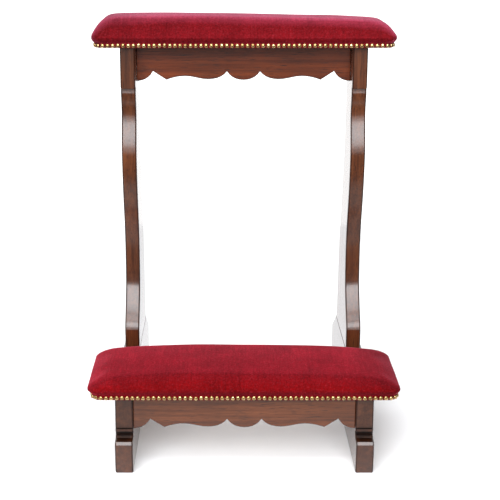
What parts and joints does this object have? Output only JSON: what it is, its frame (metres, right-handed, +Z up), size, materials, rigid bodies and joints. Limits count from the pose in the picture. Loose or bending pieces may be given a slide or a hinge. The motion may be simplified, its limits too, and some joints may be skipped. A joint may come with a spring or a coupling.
{
  "type": "upholstered prayer kneeler",
  "caption": "Upholstered prayer kneeler: wavy dark hardwood side frames joined by scalloped aprons, a low padded kneeling board and a high padded armrest, both edged with brass dome nails.",
  "frame": {"origin": "on the floor, under the middle of the kneeler's overall width and depth", "axes": "+Z up; +Y away from the person who kneels, from the kneeling pad towards the armrest; +X to that person's right"},
  "size_m": [0.6, 0.528, 0.8543],
  "materials": {
    "walnut": "gloss",
    "velvet": "matte",
    "foam": "matte",
    "plywood": "matte",
    "beech": "matte",
    "brass_nails": "satin",
    "steel": "satin"
  },
  "bodies": {
    "root": {"armrest_board": "plywood", "armrest_cleat_left": "beech", "armrest_cleat_right": "beech", "armrest_cleat_side_screw_1_left": "steel", "armrest_cleat_side_screw_1_right": "steel", "armrest_cleat_up_screw_1_left": "steel", "armrest_cleat_up_screw_1_right": "steel", "armrest_cover": "velvet", "armrest_foam": "foam", "armrest_nails": "brass_nails", "base_side_left": "walnut", "base_side_right": "walnut", "kneeler_board": "plywood", "kneeler_cleat_left": "beech", "kneeler_cleat_right": "beech", "kneeler_cleat_side_screw_1_left": "steel", "kneeler_cleat_side_screw_1_right": "steel", "kneeler_cleat_side_screw_2_left": "steel", "kneeler_cleat_side_screw_2_right": "steel", "kneeler_cleat_up_screw_1_left": "steel", "kneeler_cleat_up_screw_1_right": "steel", "kneeler_cleat_up_screw_2_left": "steel", "kneeler_cleat_up_screw_2_right": "steel", "kneeler_cover": "velvet", "kneeler_foam": "foam", "kneeler_nails": "brass_nails", "lower_front_apron": "walnut", "lower_front_apron_dowel_high_left": "beech", "lower_front_apron_dowel_high_right": "beech", "lower_front_apron_dowel_low_left": "beech", "lower_front_apron_dowel_low_right": "beech", "lower_rear_rail": "walnut", "lower_rear_rail_dowel_high_left": "beech", "lower_rear_rail_dowel_high_right": "beech", "lower_rear_rail_dowel_low_left": "beech", "lower_rear_rail_dowel_low_right": "beech", "upper_front_apron": "walnut", "upper_front_apron_dowel_high_left": "beech", "upper_front_apron_dowel_high_right": "beech", "upper_front_apron_dowel_low_left": "beech", "upper_front_apron_dowel_low_right": "beech", "upper_rear_rail": "walnut", "upper_rear_rail_dowel_high_left": "beech", "upper_rear_rail_dowel_high_right": "beech", "upper_rear_rail_dowel_low_left": "beech", "upper_rear_rail_dowel_low_right": "beech", "upright_dowel_front_left": "beech", "upright_dowel_front_right": "beech", "upright_dowel_middle_left": "beech", "upright_dowel_middle_right": "beech", "upright_dowel_rear_left": "beech", "upright_dowel_rear_right": "beech", "upright_left": "walnut", "upright_right": "walnut"}
  },
  "joints": []
}
